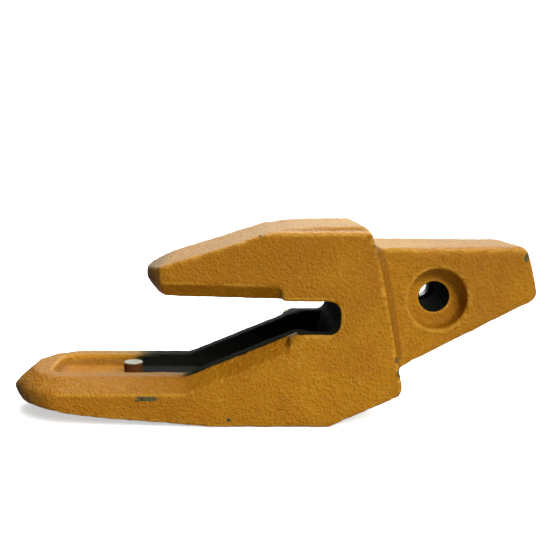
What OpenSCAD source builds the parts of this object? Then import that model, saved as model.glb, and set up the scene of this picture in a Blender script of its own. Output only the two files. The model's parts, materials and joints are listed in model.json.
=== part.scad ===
// Two-strap weld-on tooth adapter for a bucket lip, with the retainer of its cross pin.
// Frame: +X runs to the nose tip, +Y to the side with the retainer, +Z up.
// The origin is the centre of the plan, on the surface that the adapter rests on.

/* [Body] */
// Width of the body and of both straps
body_w = 150; // [145:1:160]
// Height of the body's top face
body_top = 191.5; // [190:0.5:195]
// Height of the raised pad above the body's top face
pad_h = 4.5; // [3:0.5:8]
// Distance from the body's sides to the pad's sides
pad_inset = 12.5; // [8:0.5:20]

/* [Lip slot] */
// Height of the slot floor, where the lip plate lies
slot_floor = 93.4; // [92:0.2:95]
// Height of the slot at its closed end, for a 30 mm lip plate with clearance
slot_h = 30.6; // [28:0.2:32]
// X position of the slot's closed end
slot_end = 66.8; // [64:0.2:70]
// Radius in the corners of the closed end
slot_r = 10; // [6:0.5:12]

/* [Straps] */
// Height of the lower strap's flat top
lower_top = 47.5; // [46:0.5:50]
// X position where the flat top turns up towards the slot
bend_x = -84; // [-90:1:-78]
// X position where the rising top levels out into the slot floor
throat_x = 28.4; // [26:0.2:32]
// X position of the lower strap's end face
lower_tip_x = -261.5; // [-265:0.5:-258]
// X position of the upper strap's end face
upper_tip_x = -124.5; // [-130:0.5:-120]
// Radius of the upper strap's bowed end, in plan
upper_bow_r = 154; // [120:1:200]
// Fall of the upper strap's top, in degrees
upper_fall = 17.5; // [17:0.05:18.5]

/* [Weld bevels] */
// Depth of the bevels across the width
bevel_w = 18; // [14:0.5:20]
// Height of the lower strap's bevel along its flat sides
lower_bevel_h = 14; // [10:0.5:15]
// Height of the upper strap's bevel
upper_bevel_h = 15; // [10:0.5:17]
// Depth of the bevel on the upper strap's bowed end
upper_end_bevel_w = 10.5; // [8:0.5:18]
// X position where the lower strap's bevel ends
lower_bevel_end = 18.5; // [10:0.5:24]
// X position where the upper strap's bevel ends
upper_bevel_end = 11; // [5:0.5:20]

/* [Pocket] */
// Half the width of the pocket in the lower strap
pocket_half = 37.5; // [34:0.5:39]
// Half the width of the pocket in the slot's throat
throat_half = 57; // [50:0.5:58]
// X position of the pocket's closed end
pocket_end_x = -221; // [-224:0.5:-215]
// Height of the pocket's floor
pocket_floor = 36; // [34:0.5:40]
// Radius of the pocket's corners at its closed end
pocket_r = 16; // [10:1:24]

/* [Stud] */
// Diameter of the stud in the pocket
stud_d = 20; // [16:0.5:24]
// X position of the stud
stud_x = -141.5; // [-150:0.5:-130]
// Height of the stud's top above the lower strap's flat top
stud_proud = 1; // [0:0.5:3]
// Depth of the stud's seat below the pocket floor
stud_seat = 8; // [4:0.5:10]

/* [Nose] */
// Height of the nose's top face
nose_top = 174.5; // [170:0.5:178]
// Half the width of the nose at the body
nose_root_half = 55; // [50:0.5:58]
// Half the width of the nose at its tip
nose_tip_half = 47.5; // [44:0.5:50]
// X position of the nose tip
nose_tip_x = 267.5; // [266:0.5:271]
// Plan radius of the nose tip's corners
nose_corner_r = 15; // [12:1:30]
// Rise of the nose's underside towards the tip, in degrees
nose_rise = 26.3; // [25:0.1:28]

/* [Pin bore] */
// Diameter of the cross bore for the tooth pin
bore_d = 29; // [26:0.5:32]
// Diameter of the recess round each end of the bore
recess_d = 59; // [54:0.5:62]
// Depth of each recess, at the bore's centre
recess_depth = 18; // [14:0.5:22]
// X position of the bore
bore_x = 165; // [160:0.5:170]
// Height of the bore
bore_z = 123.4; // [120:0.2:126]

/* [Retainer] */
// Radial and axial clearance of the retainer in its recess
retainer_gap = 0.4; // [0.3:0.05:0.8]
// Diameter of the ring's hole, which grips a groove in the pin
retainer_hole_d = 22; // [21:0.1:28]
// Outer diameter of the split steel ring
ring_d = 36; // [32:0.5:46]
// Width of the split steel ring, along the pin
ring_w = 11; // [8:0.5:13]
// Width of the ring's split
ring_split = 7; // [3:0.5:10]

/* [Hidden] */
$fn = 96;
paint = [0.70, 0.46, 0.13];
over = 40;
half_w = body_w / 2;

// Faces in side view, as heights at an X position
function ceiling_z(x) = slot_floor + slot_h + ceiling_knee_rise + (upper_bevel_end - x) * ceiling_slope;
function upper_top_z(x) = body_top + x * tan(upper_fall);
function nose_under_z(x) = nose_under_start[1] + (x - nose_under_start[0]) * tan(nose_rise);
ceiling_knee_rise = 0.5;
ceiling_slope = 0.027;
strap_rise = atan2(slot_floor - lower_top, throat_x - bend_x);
nose_under_start = [139, 59];

// Front edge of the body, seen from the side, from its top to its lowest corner
front_top_x = 95.5;
front_knee = [107, 151];
front_low = [129.5, 36.6];
heel = [124, 30];
base_front_x = 56;
base_back_x = -48;
belly = [-157, 8.6];
lower_tip_low = [-257, 19.5];
end_face_low = 30;

// Plan of the lower strap's end: two facets at each corner, between the side and the end face
lower_end_half = 24;
lower_knee = [-244, 55.5];
lower_corner_x = -214;
end_facet_angle = atan2(lower_knee[1] - lower_end_half, lower_knee[0] - lower_tip_x);
side_facet_angle = atan2(half_w - lower_knee[1], lower_corner_x - lower_knee[0]);

// The lower strap's bevel grows a little where it rises and round the end, as cast
rise_bevel_h = lower_bevel_h + 1;
rise_lift = 0.3;
side_facet_bevel_h = lower_bevel_h + 0.4;
end_facet_bevel_h = lower_bevel_h + 0.8;
end_bevel_h = lower_bevel_h + 1.2;

// Nose end face, seen from the side
nose_shoulder_x = 255;
nose_widest_z = 127;
nose_root_x = 90;
nose_taper = atan2(nose_root_half - nose_tip_half, nose_tip_x - front_low[0]);
nose_bore_half = nose_root_half - (bore_x - front_low[0]) * tan(nose_taper);
recess_floor_y = nose_bore_half - recess_depth;

// Rounded lump that the casting gate leaves on the lower strap's end face
gate_r = 7;
gate_out = 6;
gate_z = 24.5;

// Retainer, seated against the recess floor on the +Y side
retainer_w = recess_depth - 2 * retainer_gap - 0.6;
retainer_y = recess_floor_y + retainer_gap;
retainer_r = recess_d / 2 - retainer_gap;
lip_r = retainer_hole_d / 2 + 0.2;

// Extrudes a side view, drawn in X and Z, along the width
module along_y(width) {
    rotate([90, 0, 0]) linear_extrude(height = width, center = true) children();
}

// Triangular prism along +X that cuts a bevel from the edge at half_w; its top edge is at z = 0
module bevel_bar(length, bevel_h, side) {
    slope = bevel_h / bevel_w;
    edge = half_w - bevel_w;
    rotate([90, 0, 90]) linear_extrude(height = length)
        polygon([[side * edge, 0], [side * (edge + 2 * bevel_w), -2 * bevel_w * slope],
                 [side * (edge + 2 * bevel_w), over], [side * edge, over]]);
}

// ---------- Side views ----------

// Body with the lower strap, without the lip slot
module lower_side() {
    polygon([[lower_tip_x, lower_top], [lower_tip_x, end_face_low], lower_tip_low, belly,
             [base_back_x, 0], [base_front_x, 0], heel, front_low, front_knee,
             [front_top_x, body_top], [slot_end - 10, body_top],
             [slot_end - 10, slot_floor], [throat_x, slot_floor], [bend_x, lower_top]]);
}

// Upper strap, from its end face into the body
module upper_side() {
    polygon([[upper_tip_x, upper_top_z(upper_tip_x)], [0, body_top], [front_top_x, body_top],
             [front_top_x, slot_floor + slot_h], [slot_end - slot_r, slot_floor + slot_h],
             [upper_bevel_end, ceiling_z(upper_bevel_end)], [upper_tip_x, ceiling_z(upper_tip_x)]]);
}

// Closed end of the lip slot, with both corners rounded
module slot_side() {
    translate([slot_end - slot_r, slot_floor + slot_r]) circle(slot_r);
    translate([slot_end - slot_r, slot_floor + slot_h - slot_r]) circle(slot_r);
    translate([slot_end - slot_r, slot_floor + slot_r]) square([slot_r, slot_h - 2 * slot_r]);
    polygon([[throat_x - 10, slot_floor], [slot_end - slot_r, slot_floor],
             [slot_end - slot_r, slot_floor + slot_h], [upper_bevel_end, ceiling_z(upper_bevel_end)],
             [upper_bevel_end, slot_floor + slot_r]]);
}

// Nose wedge, starting inside the body
module nose_side() {
    lower_corner_z = nose_under_z(nose_tip_x - 2.5);
    polygon([[nose_root_x, nose_top], [nose_shoulder_x - 4, nose_top], [nose_shoulder_x, nose_top - 5],
             [nose_tip_x, nose_widest_z], [nose_tip_x - 2.5, lower_corner_z],
             [front_low[0] - 6, nose_under_z(front_low[0] - 6)], [nose_root_x, nose_under_z(nose_root_x + 20)]]);
}

// ---------- Plan views ----------

module lower_plan() {
    polygon([[lower_tip_x, -lower_end_half], [lower_knee[0], -lower_knee[1]], [lower_corner_x, -half_w],
             [front_low[0] + 1, -half_w], [front_low[0] + 1, half_w], [lower_corner_x, half_w],
             lower_knee, [lower_tip_x, lower_end_half]]);
}

module nose_plan() {
    corner_x = nose_tip_x - nose_corner_r;
    corner_y = nose_tip_half - nose_corner_r;
    polygon([[nose_root_x, -nose_root_half], [front_low[0], -nose_root_half], [corner_x, -nose_tip_half],
             [corner_x, nose_tip_half], [front_low[0], nose_root_half], [nose_root_x, nose_root_half]]);
    translate([corner_x, -corner_y]) square([nose_corner_r, 2 * corner_y]);
    for (side = [-1, 1]) translate([corner_x, side * corner_y]) circle(nose_corner_r);
}

// Pocket: narrow in the strap, wide in the throat of the slot
module pocket_plan() {
    narrow_end = lower_bevel_end + 6;
    wide_start = narrow_end + 16;
    corner_y = pocket_half - pocket_r;
    right_x = slot_end - 5;
    polygon([[pocket_end_x + pocket_r, -pocket_half], [narrow_end, -pocket_half], [wide_start, -throat_half],
             [right_x, -throat_half], [right_x, throat_half], [wide_start, throat_half],
             [narrow_end, pocket_half], [pocket_end_x + pocket_r, pocket_half]]);
    translate([pocket_end_x, -corner_y]) square([pocket_r + 1, 2 * corner_y]);
    for (side = [-1, 1]) translate([pocket_end_x + pocket_r, side * corner_y]) circle(pocket_r);
}

// ---------- Solids of the casting ----------

module lower_solid() {
    intersection() {
        along_y(body_w) lower_side();
        linear_extrude(height = body_top + over) lower_plan();
    }
}

module upper_solid() {
    intersection() {
        along_y(body_w) upper_side();
        translate([upper_tip_x + upper_bow_r, 0, 0]) cylinder(r = upper_bow_r, h = body_top + over);
    }
}

module nose_solid() {
    intersection() {
        along_y(body_w) nose_side();
        linear_extrude(height = body_top) nose_plan();
    }
}

module pad_solid() {
    ramp_start = 5;
    ramp_knee = [17, body_top + 0.6 * pad_h];
    ramp_end = 50;
    along_y(body_w - 2 * pad_inset)
        polygon([[ramp_start, body_top - 1], [ramp_start, body_top], ramp_knee, [ramp_end, body_top + pad_h],
                 [front_top_x - 5, body_top + pad_h], [front_top_x - 0.5, body_top],
                 [front_top_x - 0.5, body_top - 1]]);
}

module gate_solid() {
    translate([lower_tip_x - gate_out + gate_r, 0, gate_z]) sphere(gate_r);
}

// ---------- Cuts ----------

module lower_bevels() {
    run = lower_bevel_end - bend_x;
    for (side = [-1, 1]) {
        translate([lower_tip_x - over, 0, lower_top]) bevel_bar(bend_x - lower_tip_x + over, lower_bevel_h, side);
        intersection() {
            translate([bend_x, 0, lower_top + rise_lift]) rotate([0, -strap_rise, 0]) translate([-over, 0, 0])
                bevel_bar(2 * over + run, rise_bevel_h * cos(strap_rise), side);
            translate([bend_x, -body_w, 0]) cube([run, 2 * body_w, body_top]);
        }
    }
    // The five faces of the strap's end
    end_bevel([lower_tip_x, 0], 90, end_bevel_h);
    end_bevel([lower_tip_x, lower_end_half], end_facet_angle, end_facet_bevel_h);
    end_bevel([lower_tip_x, -lower_end_half], 180 - end_facet_angle, end_facet_bevel_h);
    end_bevel(lower_knee, side_facet_angle, side_facet_bevel_h);
    end_bevel([lower_knee[0], -lower_knee[1]], 180 - side_facet_angle, side_facet_bevel_h);
}

// Bevel bar laid along an end face that passes through a plan point and runs at the given angle
module end_bevel(point, angle, bevel_h) {
    translate([point[0], point[1], lower_top]) rotate([0, 0, angle]) translate([-body_w, -half_w, 0])
        bevel_bar(2 * body_w, bevel_h, 1);
}

module upper_bevels() {
    edge_z = ceiling_z(upper_bevel_end) - rise_lift;
    length = upper_bevel_end - upper_tip_x + over;
    for (side = [-1, 1]) translate([upper_bevel_end, 0, edge_z]) rotate([0, atan(ceiling_slope), 0])
        translate([-length, 0, 0]) mirror([0, 0, 1]) bevel_bar(length, upper_bevel_h, side);
    // The bowed end face
    inner_r = upper_bow_r - upper_end_bevel_w;
    translate([upper_tip_x + upper_bow_r, 0, ceiling_z(upper_tip_x + 30)]) rotate_extrude(angle = 360)
        polygon([[inner_r, 0], [upper_bow_r, upper_bevel_h - 0.4],
                 [upper_bow_r + over, upper_bevel_h - 0.4], [upper_bow_r + over, -over], [inner_r, -over]]);
}

module pocket_cut() {
    floor_end = 10;
    wall_top = slot_floor + slot_r;
    intersection() {
        translate([0, 0, pocket_floor - 1]) linear_extrude(height = body_top) pocket_plan();
        along_y(body_w)
            polygon([[pocket_end_x - 1, pocket_floor], [floor_end, pocket_floor], [slot_end - 12, slot_floor - 25],
                     [slot_end - 5, slot_floor], [slot_end - 5, wall_top], [pocket_end_x - 1, wall_top]]);
    }
}

module pin_bore() {
    translate([bore_x, 0, bore_z]) rotate([90, 0, 0]) cylinder(d = bore_d, h = body_w, center = true);
    for (side = [0, 180]) translate([bore_x, 0, bore_z]) rotate([90, 0, side])
        translate([0, 0, recess_floor_y]) cylinder(d = recess_d, h = over);
}

module stud_seat_cut() {
    translate([stud_x, 0, pocket_floor - stud_seat]) cylinder(d = stud_d, h = stud_seat + 1);
}

// ---------- Sub-parts ----------

module adapter_casting() {
    color(paint) difference() {
        union() {
            difference() {
                lower_solid();
                lower_bevels();
            }
            difference() {
                upper_solid();
                upper_bevels();
            }
            nose_solid();
            pad_solid();
            gate_solid();
        }
        along_y(2 * body_w) slot_side();
        pocket_cut();
        stud_seat_cut();
        pin_bore();
    }
}

module pocket_stud() {
    seat_z = pocket_floor - stud_seat;
    top_z = lower_top + stud_proud;
    color([0.62, 0.60, 0.52]) translate([stud_x, 0, seat_z]) cylinder(d = stud_d, h = top_z - seat_z);
}

// Ring about the bore's axis: outer and inner radius, Y position and width
module pin_ring(outer, inner, y, width) {
    translate([bore_x, y, bore_z]) rotate([-90, 0, 0]) difference() {
        cylinder(r = outer, h = width);
        translate([0, 0, -1]) cylinder(r = inner, h = width + 2);
    }
}

module retainer_rubber() {
    ring_y = retainer_y + (retainer_w - ring_w) / 2;
    color([0.10, 0.10, 0.10]) difference() {
        pin_ring(retainer_r, lip_r, retainer_y, retainer_w);
        pin_ring(ring_d / 2, 1, ring_y, ring_w);
    }
}

module retainer_ring() {
    ring_y = retainer_y + (retainer_w - ring_w) / 2;
    color([0.45, 0.45, 0.45]) difference() {
        pin_ring(ring_d / 2, retainer_hole_d / 2, ring_y, ring_w);
        translate([bore_x - ring_split / 2, ring_y - 1, bore_z - ring_d]) cube([ring_split, ring_w + 2, ring_d]);
    }
}

adapter_casting();
pocket_stud();
retainer_rubber();
retainer_ring();
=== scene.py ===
"""Two-strap weld-on tooth adapter: the visual model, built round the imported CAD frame."""

import json
import math

import bmesh
import bpy
import numpy as np
import openvdb as vdb
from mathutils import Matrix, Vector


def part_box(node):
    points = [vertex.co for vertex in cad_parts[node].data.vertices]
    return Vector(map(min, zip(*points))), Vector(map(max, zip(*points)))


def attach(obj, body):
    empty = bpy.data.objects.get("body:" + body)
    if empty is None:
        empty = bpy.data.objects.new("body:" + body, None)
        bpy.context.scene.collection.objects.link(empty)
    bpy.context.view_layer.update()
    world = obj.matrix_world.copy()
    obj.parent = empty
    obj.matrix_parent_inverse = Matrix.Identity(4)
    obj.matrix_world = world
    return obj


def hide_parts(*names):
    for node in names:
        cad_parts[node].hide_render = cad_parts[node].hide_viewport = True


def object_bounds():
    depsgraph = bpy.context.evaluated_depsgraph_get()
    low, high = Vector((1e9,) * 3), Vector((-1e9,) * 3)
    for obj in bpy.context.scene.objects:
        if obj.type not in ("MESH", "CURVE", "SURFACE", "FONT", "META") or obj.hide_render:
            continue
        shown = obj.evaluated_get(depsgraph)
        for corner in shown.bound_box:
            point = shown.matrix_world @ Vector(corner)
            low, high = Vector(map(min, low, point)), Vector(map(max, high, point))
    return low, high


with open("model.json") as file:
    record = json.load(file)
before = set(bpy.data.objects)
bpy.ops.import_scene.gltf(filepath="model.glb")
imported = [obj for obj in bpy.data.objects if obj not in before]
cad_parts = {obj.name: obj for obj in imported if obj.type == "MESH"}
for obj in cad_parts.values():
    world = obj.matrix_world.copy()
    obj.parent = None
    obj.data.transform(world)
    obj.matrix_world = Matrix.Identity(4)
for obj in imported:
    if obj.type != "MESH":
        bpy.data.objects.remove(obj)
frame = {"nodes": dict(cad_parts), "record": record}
cad_low, cad_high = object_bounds()

MM = 0.001
# Grid: voxel size, half width of the narrow band and margin round the part, both in voxels
VOXEL = 1.5 * MM
BAND = 10.0
MARGIN = 12
# The upper strap's tip, and where the lower strap starts to rise and how far it rises, along X
UPPER_TIP_X = -124.5 * MM
KNEE_X = -84 * MM
RISE_RUN = 112.4 * MM

mounts = {m["name"]: m for m in frame["record"]["mounts"]}
BORE = mounts["pin_bore"]["pos_m"]
BORE_R = mounts["pin_bore"]["dims"]["r_mm"] * MM
BORE_HALF = mounts["pin_bore"]["dims"]["length_mm"] * MM / 2
RECESS_R = mounts["retainer_recess"]["dims"]["r_mm"] * MM
SLOT_END = mounts["slot_end"]["pos_m"][0]
SLOT_FLOOR = mounts["slot_floor"]["pos_m"][2]
STRAP_TOP = mounts["lower_strap_face"]["pos_m"][2]


# ---------- Fields: signed distances on one dense grid ----------

transform = vdb.createLinearTransform(voxelSize=VOXEL)
grid_low = np.floor(np.array(cad_low) / VOXEL).astype(int) - MARGIN
grid_high = np.ceil(np.array(cad_high) / VOXEL).astype(int) + MARGIN
grid_shape = tuple(grid_high - grid_low + 1)
grid_start = tuple(int(i) for i in grid_low)


def welded_triangles(obj):
    """Vertices and triangles of a CAD mesh, with equal corners joined."""
    mesh = obj.data
    mesh.calc_loop_triangles()
    corners = np.empty(len(mesh.loop_triangles) * 3, np.int32)
    mesh.loop_triangles.foreach_get("vertices", corners)
    points = np.empty(len(mesh.vertices) * 3, np.float32)
    mesh.vertices.foreach_get("co", points)
    keys = np.round(points.reshape(-1, 3) * 1e6).astype(np.int64)
    unique, places = np.unique(keys, axis=0, return_inverse=True)
    triangles = places.reshape(-1)[corners].reshape(-1, 3).astype(np.uint32)
    return (unique / 1e6).astype(np.float32), triangles


def to_dense(grid):
    dense = np.empty(grid_shape, np.float32)
    grid.copyToArray(dense, ijk=grid_start)
    return dense


def to_grid(dense):
    grid = vdb.FloatGrid(VOXEL * BAND)
    grid.transform = transform
    grid.gridClass = vdb.GridClass.LEVEL_SET
    grid.copyFromArray(dense, ijk=grid_start)
    return grid


def moved_and_back(grid, distance):
    """Move a surface by a distance and back again. Inwards rounds edges; outwards fills corners."""
    points, quads = grid.convertToQuads(isovalue=distance)
    moved = vdb.FloatGrid.createLevelSetFromPolygons(
        points, quads=quads, transform=transform, halfWidth=BAND
    )
    return to_dense(moved) + distance


axes = [(np.arange(n) + start) * VOXEL for n, start in zip(grid_shape, grid_start)]
X, Y, Z = np.meshgrid(*[a.astype(np.float32) for a in axes], indexing="ij", sparse=True)


def ramp(value, start, end):
    """0 before start, 1 after end, smooth between them."""
    t = np.clip((value - start) / (end - start), 0.0, 1.0)
    return t * t * (3.0 - 2.0 * t)


def mix(a, b, weight):
    return a + (b - a) * weight


def spline_weights(count, spacing):
    """Quadratic B-spline weights of a lattice for each grid plane along one axis."""
    place = np.arange(count) / spacing
    cell = np.floor(place).astype(int)
    t = place - cell
    weights = np.zeros((count, cell[-1] + 3))
    rows = np.arange(count)
    weights[rows, cell] = 0.5 * (1 - t) ** 2
    weights[rows, cell + 1] = 0.5 + t * (1 - t)
    weights[rows, cell + 2] = 0.5 * t**2
    return weights.astype(np.float32)


def noise_field(seed, wavelength):
    """Smooth seeded noise of about unit size, with one random value per wavelength."""
    tables = [spline_weights(n, wavelength / VOXEL) for n in grid_shape]
    size = [table.shape[1] for table in tables]
    values = np.random.default_rng(seed).standard_normal(size).astype(np.float32)
    for axis, table in enumerate(tables):
        values = np.moveaxis(np.tensordot(table, values, axes=(1, axis)), 0, axis)
    return values * 2.0


def sampled(dense, points):
    """Trilinear samples of a dense field at points."""
    place = points / VOXEL - grid_low
    cell = np.clip(np.floor(place).astype(int), 0, np.array(grid_shape) - 2)
    t = place - cell
    total = np.zeros(len(points))
    for dx in (0, 1):
        for dy in (0, 1):
            for dz in (0, 1):
                weight = (t[:, 0] if dx else 1 - t[:, 0]) * (t[:, 1] if dy else 1 - t[:, 1])
                weight = weight * (t[:, 2] if dz else 1 - t[:, 2])
                total += weight * dense[cell[:, 0] + dx, cell[:, 1] + dy, cell[:, 2] + dz]
    return total


# ---------- The casting ----------


def near_bore(inner, outer):
    """1 close to the bore's axis, 0 beyond the outer radius."""
    radius = np.sqrt((X - BORE[0]) ** 2 + (Z - BORE[2]) ** 2)
    return 1.0 - ramp(radius, inner, outer)


def filled_field(base):
    """The sharp solid with cast fillets in its inner corners."""
    small = moved_and_back(base, 2.5 * MM)
    medium = moved_and_back(base, 6.0 * MM)
    large = moved_and_back(base, 11.0 * MM)
    pocket = ramp(Z, 55 * MM, 48 * MM) * ramp(Z, 22 * MM, 30 * MM) * ramp(X, 20 * MM, -5 * MM)
    pocket = pocket * ramp(abs(Y), 52 * MM, 46 * MM)
    stud_x = sum(c.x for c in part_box("pocket_stud")) / 2
    away = np.sqrt((X - stud_x) ** 2 + Y**2)
    pocket = pocket * ramp(away, 15 * MM, 22 * MM)
    neck = ramp(X, 92 * MM, 98 * MM) * ramp(X, 150 * MM, 138 * MM)
    neck = neck * (1.0 - near_bore(RECESS_R + 1 * MM, RECESS_R + 7 * MM))
    upper = neck * ramp(Z, 56 * MM, 72 * MM)
    lower = neck * ramp(Z, 72 * MM, 56 * MM)
    field = mix(small, medium, np.maximum(pocket, lower))
    return np.minimum(small, mix(field, large, upper))


def softened_end(field):
    """Blur the lower strap's end across the plan, so that its facets run together; add the stub."""
    near_end = ramp(X, -196 * MM, -210 * MM)
    count = int(np.count_nonzero(near_end > 0)) + 8
    in_pocket = ramp(X, -232 * MM, -226 * MM) * ramp(abs(Y), 38 * MM, 32 * MM)
    weight = near_end * ramp(Z, STRAP_TOP - 1 * MM, STRAP_TOP - 8 * MM) * (1 - in_pocket)
    part = field[:count].copy()
    for axis in (0, 1, 0, 1):
        part = sum(np.roll(part, k, axis) for k in range(-4, 5)) / 9.0
    field[:count] = mix(field[:count], part, weight[:count])
    stub_r = 6.6 * MM
    stub = np.sqrt((X - cad_low.x - 7 * MM) ** 2 + Y**2 + (Z - 23.5 * MM) ** 2) - stub_r
    field = np.minimum(field, stub)
    return field


def rounded_field(filled):
    """The casting with edges rounded by place, and how sharp its edges were before."""
    grid = to_grid(filled)
    radii = (1.2, 2.0, 3.4, 8.0)
    fine, small, normal, large = [moved_and_back(grid, -r * MM) for r in radii]
    recess = near_bore(RECESS_R + 5 * MM, RECESS_R + 12 * MM)
    mouth = near_bore(BORE_R + 4 * MM, BORE_R + 8 * MM)
    slot = ramp(Z, 86 * MM, 90 * MM) * ramp(Z, 132 * MM, 128 * MM)
    slot = slot * ramp(X, 74 * MM, 70 * MM)
    straps = ramp(X, -30 * MM, -50 * MM)
    nose = ramp(X, 126 * MM, 146 * MM) * (1.0 - near_bore(RECESS_R + 4 * MM, RECESS_R + 9 * MM))
    nose = nose * mix(0.75, 1.0, ramp(Z, 140 * MM, 156 * MM))
    nose = nose * mix(1.0, 0.5, ramp(X, 246 * MM, 258 * MM))
    pad = ramp(Z, 187 * MM, 191 * MM) * ramp(abs(Y), 67 * MM, 64 * MM)
    field = mix(normal, small, np.maximum(np.maximum(recess, slot), straps * 0.85))
    field = mix(field, large, nose * 0.9)
    field = mix(field, small, pad * 0.6)
    field = mix(field, fine, mouth)
    return field, normal - fine


def cast_marks():
    """Shallow ridges and seams that the mould leaves on the sides, as heights."""
    side = ramp(abs(Y), 66 * MM, 72 * MM)
    crease = np.exp(-(((X + 42 * MM - 0.12 * (Z - 150 * MM)) / (3 * MM)) ** 2))
    crease = crease * ramp(Z, 140 * MM, 146 * MM)
    seam = np.exp(-(((Z - 52 * MM) / (1.4 * MM)) ** 2))
    seam = seam * ramp(X, 22 * MM, 26 * MM) * ramp(X, 64 * MM, 58 * MM)
    return side * (0.35 * MM * seam - 0.3 * MM * crease)


def extract(field):
    points, quads = to_grid(field).convertToQuads(isovalue=0.0)
    low, high = np.array(cad_low), np.array(cad_high)
    return np.clip(points.astype(np.float64), low, high), quads.astype(np.int64)


def mesh_object(name, points, faces):
    mesh = bpy.data.meshes.new(name)
    mesh.from_pydata([tuple(p) for p in points], [], [tuple(f) for f in faces])
    mesh.validate()
    mesh.update()
    mesh.shade_smooth()
    obj = bpy.data.objects.new(name, mesh)
    bpy.context.collection.objects.link(obj)
    return obj


def set_attribute(obj, name, values):
    attribute = obj.data.attributes.new(name, "FLOAT", "POINT")
    attribute.data.foreach_set("value", np.asarray(values, np.float32))


def bare_and_shade_mask(p):
    """1 where the paint never reached and where shade falls, both painted near black: the slot, the
    throat, the pocket's far part and the bore.
    """
    x, y, z = p.T
    in_slot = ramp(z, SLOT_FLOOR - 2.2 * MM, SLOT_FLOOR - 0.4 * MM)
    in_slot = in_slot * ramp(x, SLOT_END + 3 * MM, SLOT_END)
    in_slot = in_slot * ramp(z, 126 * MM, 123 * MM) * ramp(x, 10 * MM, 26 * MM)
    in_slot = in_slot * ramp(abs(y), 74.4 * MM, 72.5 * MM)
    rise_z = STRAP_TOP + (x - KNEE_X) * (SLOT_FLOOR - STRAP_TOP) / RISE_RUN
    strap_z = np.maximum(rise_z, STRAP_TOP)
    band = ramp(z - strap_z, -3.5 * MM, -1.2 * MM) * ramp(z - strap_z, 9 * MM, 6 * MM)
    band = band * ramp(x, 34 * MM, 30 * MM)
    near_band = ramp(x, -100 * MM, -70 * MM)
    near_band = near_band * ramp(y, -59 * MM, -57 * MM) * ramp(y, -30 * MM, -36 * MM)
    far_band = ramp(x, -175 * MM, -105 * MM)
    far_band = far_band * ramp(y, 64 * MM, 58 * MM) * ramp(y, 30 * MM, 36 * MM)
    on_rise = band * np.maximum(near_band, far_band)
    pocket = ramp(x, -168 * MM, -122 * MM) * ramp(z, STRAP_TOP - 0.5 * MM, STRAP_TOP - 2.5 * MM)
    pocket = pocket * ramp(abs(y), 42 * MM, 39.5 * MM) * ramp(z, 30 * MM, 34 * MM)
    pocket = pocket * ramp(x, SLOT_END + 2 * MM, SLOT_END - 1 * MM)
    throat = ramp(x, -125 * MM, -100 * MM) * ramp(abs(y), 60 * MM, 57.5 * MM)
    throat = throat * ramp(rise_z - z, 0, 2 * MM)
    throat = throat * ramp(x, SLOT_END + 2 * MM, SLOT_END - 1 * MM) * ramp(z, 30 * MM, 34 * MM)
    inside = ramp(np.hypot(x - BORE[0], z - BORE[2]), BORE_R + 2.0 * MM, BORE_R + 1.0 * MM)
    inside = inside * ramp(abs(y), BORE_HALF + 0.2 * MM, BORE_HALF - 1.8 * MM)
    return np.clip(np.maximum.reduce([in_slot, on_rise, pocket, throat, inside]), 0, 1)


def chip_mask(p):
    """Paint chips and scrapes: strongest where a part of this shape knocks against others."""
    x_low, x_high, side = cad_low.x, cad_high.x, cad_low.y
    chips = [
        ((101, side / MM + 1, 181), (4.5, 5, 6)),
        ((103, side / MM + 1, 170), (3, 4, 5)),
        ((122, side / MM + 1, 68), (2, 3, 3)),
        ((124, side / MM + 1, 55), (2, 3, 4)),
        ((127, side / MM, 32), (3, 4, 5)),
        ((x_high / MM - 15, -46, 164), (2.6, 14, 5)),
        ((x_high / MM - 8.5, -45, 118), (2.8, 14, 2.8)),
        ((-121, -74, 29.5), (13, 4, 2.6)),
        ((-48, -74, 184), (2, 3, 2)),
        ((-10, -74, 189), (3, 3, 2)),
        ((x_low / MM + 22, -50, 21), (5, 4, 3)),
        ((-40, side / MM, 8), (3, 3, 2)),
        ((90, cad_high.y / MM, 190), (7, 5, 4)),
        ((x_high / MM - 3, 45, 150), (4, 5, 9)),
        ((-120, 40, 140), (5, 9, 4)),
    ]
    total = np.zeros(len(p))
    for centre, size in chips:
        away = (p / MM - np.array(centre)) / np.array(size)
        total = np.maximum(total, 1.6 * np.exp(-0.7 * (away**2).sum(axis=1)))
    return total


def grime_and_shade_mask(p):
    """Grime rubbed into the ends of both straps and the stub, with painted shade where these ends
    turn away from the light, from 0 to 1.
    """
    x, y, z = p.T
    lower = ramp(x, cad_low.x + 62 * MM, cad_low.x + 20 * MM) * ramp(z, 42 * MM, 31 * MM)
    upper = ramp(x, UPPER_TIP_X + 30 * MM, UPPER_TIP_X + 6 * MM) * ramp(z, 130 * MM, 137 * MM)
    upper = upper * ramp(x, -150 * MM, -140 * MM)
    stub = ramp(x, cad_low.x + 9 * MM, cad_low.x + 6 * MM)
    return np.clip(0.9 * lower + 0.9 * upper + stub, 0, 1)


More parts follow.
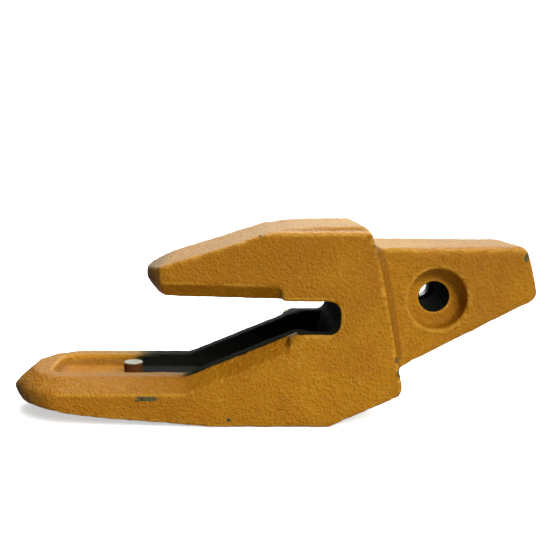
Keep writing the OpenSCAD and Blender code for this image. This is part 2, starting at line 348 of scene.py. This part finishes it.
def make_casting():
    """The casting's skin, its paint attributes and its two materials."""
    node = frame["nodes"]["adapter_casting"]
    points, triangles = welded_triangles(node)
    base = vdb.FloatGrid.createLevelSetFromPolygons(
        points, triangles=triangles, transform=transform, halfWidth=BAND
    )
    filled = filled_field(base)
    field, sharpness = rounded_field(filled)
    bumps = noise_field(11, 14 * MM) * 0.06 + noise_field(12, 6.5 * MM) * 0.10
    bumps = bumps + noise_field(13, 3.6 * MM) * 0.12
    smooth_bore = 1.0 - 0.85 * near_bore(BORE_R + 2 * MM, BORE_R + 4 * MM)
    field = softened_end(field)
    field = field + 0.2 * MM + bumps * MM * smooth_bore - cast_marks()
    points, quads = extract(field)
    casting = mesh_object("casting", points, quads)
    # Depth of the cast fillets, used for painted shade in the inner corners.
    fillet_shade = sampled(to_dense(base) - filled, points)
    # Edge sharpness, used for a painted highlight along convex edges.
    set_attribute(casting, "edge", np.clip(sampled(sharpness, points) / (0.3 * MM), 0, 1))
    set_attribute(casting, "fillet_shade", np.clip(fillet_shade / (1.5 * MM), 0, 1))
    # Unpainted parts, darkened to near black with painted shade.
    bare_and_shade = bare_and_shade_mask(points)
    set_attribute(casting, "bare_and_shade", bare_and_shade)
    set_attribute(casting, "chip", chip_mask(points))
    set_attribute(casting, "grain", sampled(bumps, points))
    set_attribute(casting, "grime_and_shade", grime_and_shade_mask(points))
    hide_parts("adapter_casting")
    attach(casting, "adapter")
    casting.data.materials.append(paint_material())
    casting.data.materials.append(scale_and_shade_material())
    deep = bare_and_shade + 0.5 * sampled(bumps, points)
    inside = deep[quads].min(axis=1) > 0.75
    casting.data.polygons.foreach_set("material_index", inside.astype(np.int32))


# ---------- Turned pieces ----------


def turned(name, profile, centre, axis, segments=96, start=0.0, sweep=360.0):
    """Turn a closed outline of (radius, along) points about an axis; caps close a part turn."""
    whole = sweep >= 360.0
    turns = segments if whole else segments + 1
    side, up = {"y": ((1, 0, 0), (0, 0, 1)), "z": ((1, 0, 0), (0, 1, 0))}[axis]
    along_dir = {"y": (0, 1, 0), "z": (0, 0, 1)}[axis]
    points, faces = [], []
    for i in range(turns):
        angle = math.radians(start + sweep * i / segments)
        c, s = math.cos(angle), math.sin(angle)
        for radius, along in profile:
            points.append(
                [
                    centre[k] + radius * (c * side[k] + s * up[k]) + along * along_dir[k]
                    for k in range(3)
                ]
            )
    count = len(profile)
    for i in range(segments):
        j = (i + 1) % turns
        for k in range(count):
            n = (k + 1) % count
            faces.append((i * count + k, i * count + n, j * count + n, j * count + k))
    if not whole:
        faces.append(tuple(range(count)))
        faces.append(tuple(range((turns - 1) * count + count - 1, (turns - 1) * count - 1, -1)))
    obj = mesh_object(name, points, faces)
    fix_normals(obj)
    return obj


def fix_normals(obj):
    """Join equal corners and turn every face outwards."""
    work = bmesh.new()
    work.from_mesh(obj.data)
    bmesh.ops.remove_doubles(work, verts=work.verts, dist=1e-7)
    bmesh.ops.dissolve_degenerate(work, edges=work.edges, dist=1e-7)
    bmesh.ops.recalc_face_normals(work, faces=work.faces)
    work.to_mesh(obj.data)
    work.free()


def arc_points(centre, radius, start, end, steps):
    """Points of a circular arc in an outline, angles in degrees."""
    angles = [math.radians(start + (end - start) * i / steps) for i in range(steps + 1)]
    return [(centre[0] + radius * math.cos(a), centre[1] + radius * math.sin(a)) for a in angles]


def make_stud():
    """The round stud in the pocket: a sawn top face and a rough rusted side."""
    low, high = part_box("pocket_stud")
    centre = ((low.x + high.x) / 2, (low.y + high.y) / 2, 0.0)
    radius = (high.x - low.x) / 2
    edge = 0.9 * MM
    profile = [(1e-9, low.z), (radius, low.z)]
    profile += [(radius, low.z + (high.z - low.z) * i / 12) for i in range(1, 11)]
    profile += arc_points((radius - edge, high.z - edge), edge, 0, 90, 5)
    profile += [(radius * r, high.z - 0.25 * MM * (1 - r)) for r in (0.8, 0.55, 0.3)]
    profile += [(1e-9, high.z - 0.3 * MM)]
    stud = turned("stud", profile, centre, "z", 72)
    rng = np.random.default_rng(21)
    phase = rng.uniform(0, 2 * math.pi, 3)
    for vertex in stud.data.vertices:
        dx, dy = vertex.co.x - centre[0], vertex.co.y - centre[1]
        angle = math.atan2(dy, dx)
        waves = [(5 + 4 * k) * angle + phase[k] + vertex.co.z * 900 for k in range(3)]
        rough = sum(math.sin(wave) for wave in waves)
        shrink = 1.0 - 0.006 * (1.5 + 0.5 * rough)
        vertex.co.x = centre[0] + dx * shrink
        vertex.co.y = centre[1] + dy * shrink
    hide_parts("pocket_stud")
    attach(stud, "adapter")
    stud.data.materials.append(stud_material())
    stud.data.materials.append(rust_material())
    for face in stud.data.polygons:
        face.material_index = 0 if face.center.z > high.z - edge else 1


def make_retainer():
    """The pin retainer: a grooved rubber ring and the split steel ring bedded in it."""
    rubber_low, rubber_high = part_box("retainer_rubber")
    ring_low, ring_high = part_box("retainer_ring")
    centre = (BORE[0], 0.0, BORE[2])
    outer = (rubber_high.x - rubber_low.x) / 2
    ring_outer = (ring_high.x - ring_low.x) / 2
    back, front = rubber_low.y, rubber_high.y
    hole = 11.2 * MM
    round_r = 1.6 * MM
    middle = (back + front) / 2
    profile = []
    profile += arc_points((outer - round_r, back + round_r), round_r, -90, 0, 6)
    for k in (-1, 0, 1):
        groove = middle + k * 4.2 * MM
        profile += [(outer, groove - 0.9 * MM), (outer - 0.7 * MM, groove - 0.4 * MM)]
        profile += [(outer - 0.7 * MM, groove + 0.4 * MM), (outer, groove + 0.9 * MM)]
    profile += arc_points((outer - round_r, front - round_r), round_r, 0, 90, 6)
    profile += [(22.5 * MM, front), (21.7 * MM, front - 0.7 * MM), (20.3 * MM, front - 0.7 * MM)]
    profile += [(19.5 * MM, front)]
    profile += arc_points((hole + round_r, front - round_r), round_r, 90, 180, 5)
    profile += [(hole, ring_high.y), (ring_outer, ring_high.y)]
    profile += [(ring_outer, ring_low.y), (hole, ring_low.y)]
    profile += arc_points((hole + round_r, back + round_r), round_r, 180, 270, 5)
    rubber = turned("retainer_body", profile, centre, "y", 128)
    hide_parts("retainer_rubber")
    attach(rubber, "retainer")
    rubber.data.materials.append(rubber_material())

    inner = 11.0 * MM
    bevel = 0.5 * MM
    profile = [
        (inner + bevel, ring_low.y),
        (ring_outer - bevel, ring_low.y),
        (ring_outer, ring_low.y + bevel),
        (ring_outer, ring_high.y - bevel),
        (ring_outer - bevel, ring_high.y),
        (inner + bevel, ring_high.y),
        (inner, ring_high.y - bevel),
        (inner, ring_low.y + bevel),
    ]
    half_split = math.degrees(3.5 * MM / ((inner + ring_outer) / 2))
    start, sweep = -90 + half_split, 360 - 2 * half_split
    ring = turned("retainer_clip", profile, centre, "y", 96, start, sweep)
    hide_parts("retainer_ring")
    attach(ring, "retainer")
    ring.data.materials.append(clip_material())


# ---------- Materials ----------


# Colours of the unpainted scale, made near black with painted shade.
SCALE_SHADE_DARK = (0.0018, 0.0018, 0.0012)
SCALE_SHADE_LIGHT = (0.007, 0.007, 0.0045)


class Graph:
    """Short names for building a material's nodes."""

    def __init__(self, name):
        self.material = bpy.data.materials.new(name)
        self.material.use_nodes = True
        self.tree = self.material.node_tree
        self.shader = self.tree.nodes["Principled BSDF"]
        self.place = self.tree.nodes.new("ShaderNodeTexCoord").outputs["Object"]

    def put(self, socket, value):
        if isinstance(value, bpy.types.NodeSocket):
            self.tree.links.new(value, socket)
        else:
            socket.default_value = value

    def noise(self, scale, detail=3.0, roughness=0.55, stretch=None, distortion=0.0):
        node = self.tree.nodes.new("ShaderNodeTexNoise")
        vector = self.place
        if stretch:
            mapping = self.tree.nodes.new("ShaderNodeMapping")
            mapping.inputs["Scale"].default_value = stretch
            self.put(mapping.inputs["Vector"], self.place)
            vector = mapping.outputs["Vector"]
        self.put(node.inputs["Vector"], vector)
        node.inputs["Scale"].default_value = scale
        node.inputs["Detail"].default_value = detail
        node.inputs["Roughness"].default_value = roughness
        node.inputs["Distortion"].default_value = distortion
        return node.outputs["Fac"]

    def cells(self, scale):
        node = self.tree.nodes.new("ShaderNodeTexVoronoi")
        self.put(node.inputs["Vector"], self.place)
        node.inputs["Scale"].default_value = scale
        return node.outputs["Distance"]

    def attribute(self, name):
        node = self.tree.nodes.new("ShaderNodeAttribute")
        node.attribute_name = name
        return node.outputs["Fac"]

    def math(self, kind, a, b=0.0, clamp=False):
        node = self.tree.nodes.new("ShaderNodeMath")
        node.operation = kind
        node.use_clamp = clamp
        self.put(node.inputs[0], a)
        self.put(node.inputs[1], b)
        return node.outputs[0]

    def span(self, value, low, high, out_low=0.0, out_high=1.0):
        """Map a value from one range to another, held at its ends."""
        node = self.tree.nodes.new("ShaderNodeMapRange")
        node.interpolation_type = "SMOOTHSTEP"
        self.put(node.inputs["Value"], value)
        node.inputs["From Min"].default_value = low
        node.inputs["From Max"].default_value = high
        node.inputs["To Min"].default_value = out_low
        node.inputs["To Max"].default_value = out_high
        return node.outputs["Result"]

    def mix(self, weight, a, b):
        node = self.tree.nodes.new("ShaderNodeMix")
        node.data_type = "RGBA"
        self.put(node.inputs["Factor"], weight)
        for socket, value in ((node.inputs[6], a), (node.inputs[7], b)):
            self.put(socket, (*value, 1.0) if isinstance(value, tuple) else value)
        return node.outputs[2]

    def bump(self, height, strength, distance, under=None):
        node = self.tree.nodes.new("ShaderNodeBump")
        node.inputs["Strength"].default_value = strength
        node.inputs["Distance"].default_value = distance
        self.put(node.inputs["Height"], height)
        if under:
            self.put(node.inputs["Normal"], under)
        return node.outputs["Normal"]


def paint_material():
    g = Graph("ochre_paint")
    broad = g.noise(7.0, 3.0, 0.5)
    patches = g.noise(38.0, 4.0, 0.6)
    grain = g.noise(430.0, 4.0, 0.65)
    speck = g.noise(950.0, 2.0, 0.6)
    peel = g.cells(300.0)
    edge, fillet_shade = g.attribute("edge"), g.attribute("fillet_shade")
    bare_and_shade, chip = g.attribute("bare_and_shade"), g.attribute("chip")
    lumps = g.attribute("grain")

    colour = g.mix(g.span(broad, 0.35, 0.65), (0.385, 0.136, 0.0012), (0.485, 0.192, 0.0030))
    colour = g.mix(g.span(patches, 0.42, 0.68, 0.0, 0.5), colour, (0.41, 0.132, 0.003))
    colour = g.mix(g.span(grain, 0.42, 0.72, 0.0, 0.38), colour, (0.21, 0.078, 0.004))
    colour = g.mix(g.span(lumps, 0.05, 0.45, 0.0, 0.22), colour, (0.24, 0.088, 0.004))
    colour = g.mix(g.span(lumps, -0.08, -0.4, 0.0, 0.34), colour, (0.58, 0.27, 0.020))
    # Painted highlight: convex edges are lightened, less on the darkened strap ends.
    clear_of_grime_and_shade = g.math("SUBTRACT", 1.0, g.attribute("grime_and_shade"), clamp=True)
    edge_highlight = g.math("MULTIPLY", edge, clear_of_grime_and_shade)
    colour = g.mix(g.span(edge_highlight, 0.25, 1.0, 0.0, 0.42), colour, (0.62, 0.31, 0.03))
    # Painted shade: darker in the cast fillets of the inner corners.
    colour = g.mix(g.span(fillet_shade, 0.1, 1.0, 0.0, 0.6), colour, (0.20, 0.066, 0.004))

    # Grime and painted shade: the strap ends and the stub are darkened, in patches.
    grime_and_shade = g.math("MULTIPLY", g.attribute("grime_and_shade"), g.span(patches, 0.3, 0.62, 0.55, 1.0))
    colour = g.mix(grime_and_shade, colour, (0.060, 0.020, 0.002))

    torn = g.math("SUBTRACT", g.noise(330.0, 5.0, 0.7), 0.5)
    ragged = g.math("ADD", chip, g.math("MULTIPLY", torn, 2.4))
    chipped = g.span(ragged, 0.78, 0.92)
    metal = g.mix(g.span(grain, 0.35, 0.65), (0.028, 0.025, 0.010), (0.14, 0.118, 0.042))
    colour = g.mix(chipped, colour, metal)

    # Unpainted scale with painted shade: the slot, throat, pocket's far part and bore go near
    # black.
    drift = g.math("SUBTRACT", patches, 0.5)
    unpainted_and_shaded = g.math("ADD", bare_and_shade, g.math("MULTIPLY", drift, 0.5))
    unpainted_and_shaded = g.span(unpainted_and_shaded, 0.32, 0.72)
    scale_and_shade_black = g.mix(g.span(grain, 0.4, 0.7), SCALE_SHADE_DARK, SCALE_SHADE_LIGHT)
    colour = g.mix(unpainted_and_shaded, colour, scale_and_shade_black)
    g.put(g.shader.inputs["Base Color"], colour)

    rough = g.span(grain, 0.3, 0.7, 0.24, 0.42)
    rough = g.math("ADD", rough, g.math("MULTIPLY", g.math("MAXIMUM", chipped, unpainted_and_shaded), 0.38))
    g.put(g.shader.inputs["Roughness"], rough)
    g.shader.inputs["Specular IOR Level"].default_value = 0.45
    g.shader.inputs["Specular Tint"].default_value = (0.95, 1.0, 0.45, 1.0)
    normal = g.bump(peel, 0.6, 0.0018)
    normal = g.bump(grain, 0.9, 0.0022, normal)
    normal = g.bump(speck, 0.6, 0.0009, normal)
    normal = g.bump(g.math("SUBTRACT", 1.0, chipped), 0.5, 0.0006, normal)
    g.put(g.shader.inputs["Normal"], normal)
    return g.material


def scale_and_shade_material():
    """Casting scale, dark and dull, where no paint reached, made near black with painted shade."""
    g = Graph("casting_scale_and_shade")
    grain = g.noise(430.0, 4.0, 0.65)
    patches = g.noise(38.0, 4.0, 0.6)
    colour = g.mix(g.span(grain, 0.4, 0.7), SCALE_SHADE_DARK, SCALE_SHADE_LIGHT)
    colour = g.mix(g.span(patches, 0.55, 0.75, 0.0, 0.5), colour, (0.010, 0.007, 0.0035))
    g.put(g.shader.inputs["Base Color"], colour)
    g.put(g.shader.inputs["Roughness"], g.span(grain, 0.3, 0.7, 0.6, 0.8))
    g.shader.inputs["Specular IOR Level"].default_value = 0.1
    normal = g.bump(grain, 0.5, 0.0018)
    g.put(g.shader.inputs["Normal"], normal)
    return g.material


def stud_material():
    g = Graph("bare_steel")
    grain = g.noise(600.0, 4.0, 0.65)
    saw = g.noise(160.0, 3.0, 0.6, stretch=(1.0, 14.0, 1.0))
    face = g.mix(g.span(saw, 0.35, 0.65), (0.22, 0.205, 0.155), (0.42, 0.40, 0.32))
    g.put(g.shader.inputs["Base Color"], face)
    g.shader.inputs["Metallic"].default_value = 0.45
    g.put(g.shader.inputs["Roughness"], g.span(grain, 0.3, 0.7, 0.42, 0.62))
    normal = g.bump(saw, 0.3, 0.0004)
    g.put(g.shader.inputs["Normal"], g.bump(grain, 0.35, 0.0005, normal))
    return g.material


def rust_material():
    """The stud's round side: rusted steel with a film of overspray."""
    g = Graph("rusted_side")
    grain = g.noise(600.0, 4.0, 0.65)
    streaks = g.noise(220.0, 3.0, 0.6, stretch=(1.0, 1.0, 0.25))
    colour = g.mix(g.span(grain, 0.35, 0.65), (0.050, 0.014, 0.003), (0.12, 0.036, 0.006))
    colour = g.mix(g.span(streaks, 0.5, 0.7, 0.0, 0.5), colour, (0.20, 0.075, 0.006))
    g.put(g.shader.inputs["Base Color"], colour)
    g.put(g.shader.inputs["Roughness"], g.span(grain, 0.3, 0.7, 0.55, 0.8))
    g.shader.inputs["Specular IOR Level"].default_value = 0.15
    g.put(g.shader.inputs["Normal"], g.bump(grain, 0.35, 0.0005))
    return g.material


def rubber_material():
    g = Graph("black_rubber")
    grain = g.noise(900.0, 3.0, 0.6)
    dust = g.noise(45.0, 4.0, 0.6)
    colour = g.mix(g.span(grain, 0.35, 0.7), (0.010, 0.010, 0.010), (0.022, 0.022, 0.021))
    colour = g.mix(g.span(dust, 0.5, 0.75, 0.0, 0.45), colour, (0.055, 0.050, 0.043))
    g.put(g.shader.inputs["Base Color"], colour)
    g.put(g.shader.inputs["Roughness"], g.span(dust, 0.3, 0.7, 0.55, 0.75))
    g.put(g.shader.inputs["Normal"], g.bump(grain, 0.3, 0.0003))
    return g.material


def clip_material():
    g = Graph("spring_steel")
    grain = g.noise(420.0, 4.0, 0.6)
    turned_marks = g.noise(260.0, 3.0, 0.6, stretch=(0.3, 8.0, 0.3))
    colour = g.mix(g.span(turned_marks, 0.3, 0.7), (0.18, 0.18, 0.175), (0.36, 0.355, 0.34))
    colour = g.mix(g.span(grain, 0.6, 0.75, 0.0, 0.6), colour, (0.10, 0.05, 0.025))
    g.put(g.shader.inputs["Base Color"], colour)
    g.shader.inputs["Metallic"].default_value = 0.85
    g.put(g.shader.inputs["Roughness"], g.span(grain, 0.3, 0.7, 0.32, 0.5))
    g.put(g.shader.inputs["Normal"], g.bump(turned_marks, 0.25, 0.0003))
    return g.material


# ---------- Camera, floor and light ----------


def make_camera():
    """Low three-quarter view along +Y, a little above the part and left of its middle."""
    data = bpy.data.cameras.new("camera")
    data.sensor_width = 36.0
    data.lens = 52.07
    data.shift_x = 0.0714
    data.clip_start, data.clip_end = 0.01, 50.0
    camera = bpy.data.objects.new("camera", data)
    middle_x = (cad_low.x + cad_high.x) / 2
    camera.location = (middle_x - 0.029, cad_low.y - 0.76, cad_low.z + 0.2538)
    camera.rotation_euler = (math.radians(90.0 - 8.08), 0.0, 0.0)
    bpy.context.collection.objects.link(camera)
    bpy.context.scene.camera = camera


def map_range(tree, value, from_low, from_high, to_low, to_high):
    """A linear map of a node's value from one range to another, held at its ends."""
    node = tree.nodes.new("ShaderNodeMapRange")
    ends = {"From Min": from_low, "From Max": from_high, "To Min": to_low, "To Max": to_high}
    for name, end in ends.items():
        node.inputs[name].default_value = end
    tree.links.new(value, node.inputs["Value"])
    return node.outputs["Result"]


def make_floor():
    """A white floor: plain to the camera, dimmer in what it bounces and reflects."""
    bpy.ops.mesh.primitive_plane_add(size=20.0, location=(0.0, 0.0, cad_low.z))
    floor = bpy.context.object
    floor.name = "floor"
    material = bpy.data.materials.new("floor_white")
    material.use_nodes = True
    shader = material.node_tree.nodes["Principled BSDF"]
    shader.inputs["Roughness"].default_value = 1.0
    shader.inputs["Specular IOR Level"].default_value = 0.0
    tree = material.node_tree
    ray = tree.nodes.new("ShaderNodeLightPath")
    bounce = map_range(tree, ray.outputs["Is Glossy Ray"], 0.0, 1.0, 0.55, 0.08)
    tone = tree.nodes.new("ShaderNodeMix")
    tree.links.new(ray.outputs["Is Camera Ray"], tone.inputs["Factor"])
    tree.links.new(bounce, tone.inputs[2])
    tone.inputs[3].default_value = 0.95
    tree.links.new(tone.outputs[0], shader.inputs["Base Color"])
    shader.inputs["Emission Color"].default_value = (1.0, 1.0, 1.0, 1.0)
    glow = tree.nodes.new("ShaderNodeMath")
    glow.operation = "MULTIPLY"
    glow.inputs[1].default_value = 0.55
    tree.links.new(ray.outputs["Is Camera Ray"], glow.inputs[0])
    tree.links.new(glow.outputs[0], shader.inputs["Emission Strength"])
    floor.data.materials.append(material)


def area_light(name, place, target, size, power):
    data = bpy.data.lights.new(name, "AREA")
    data.shape = "RECTANGLE"
    data.size, data.size_y = size
    data.energy = power
    light = bpy.data.objects.new(name, data)
    light.location = place
    aim = [target[k] - place[k] for k in range(3)]
    yaw = math.atan2(aim[1], aim[0])
    pitch = math.atan2(math.hypot(aim[0], aim[1]), -aim[2])
    light.rotation_euler = (pitch, 0.0, yaw - math.pi / 2)
    bpy.context.collection.objects.link(light)


def make_light():
    """White to the camera; to everything else the sky is bright behind and dim on the left."""
    world = bpy.data.worlds.new("studio")
    bpy.context.scene.world = world
    world.use_nodes = True
    tree = world.node_tree
    back = tree.nodes["Background"]
    place = tree.nodes.new("ShaderNodeTexCoord")
    split = tree.nodes.new("ShaderNodeSeparateXYZ")
    tree.links.new(place.outputs["Generated"], split.inputs[0])
    depth = map_range(tree, split.outputs["Y"], 0.1, 0.95, 0.16, 1.12)
    across = map_range(tree, split.outputs["X"], -0.45, 0.02, 0.08, 1.0)
    dome = tree.nodes.new("ShaderNodeMath")
    dome.operation = "MULTIPLY"
    tree.links.new(depth, dome.inputs[0])
    tree.links.new(across, dome.inputs[1])
    ray = tree.nodes.new("ShaderNodeLightPath")
    seen = tree.nodes.new("ShaderNodeMix")
    tree.links.new(ray.outputs["Is Camera Ray"], seen.inputs["Factor"])
    tree.links.new(dome.outputs[0], seen.inputs[2])
    seen.inputs[3].default_value = 1.05
    tree.links.new(seen.outputs[0], back.inputs["Strength"])
    tint = tree.nodes.new("ShaderNodeMix")
    tint.data_type = "RGBA"
    tree.links.new(ray.outputs["Is Camera Ray"], tint.inputs["Factor"])
    tint.inputs[6].default_value = (0.84, 1.0, 0.86, 1.0)
    tint.inputs[7].default_value = (1.0, 1.0, 1.0, 1.0)
    tree.links.new(tint.outputs[2], back.inputs["Color"])
    sun = bpy.data.lights.new("key", "SUN")
    sun.energy = 3.25
    sun.angle = math.radians(28.0)
    key = bpy.data.objects.new("key", sun)
    key.rotation_euler = (math.radians(56.0), 0.0, math.radians(28.0))
    bpy.context.collection.objects.link(key)
    area_light("softbox", (0.0, 0.05, 1.1), (0.0, 0.0, 0.15), (1.3, 0.12), 8.0)
    area_light("back_strip", (0.05, 0.8, 0.95), (0.05, 0.0, 0.15), (1.2, 0.16), 9.0)


make_casting()
make_stud()
make_retainer()
make_camera()
make_floor()
make_light()
bpy.context.scene.view_settings.view_transform = "Standard"
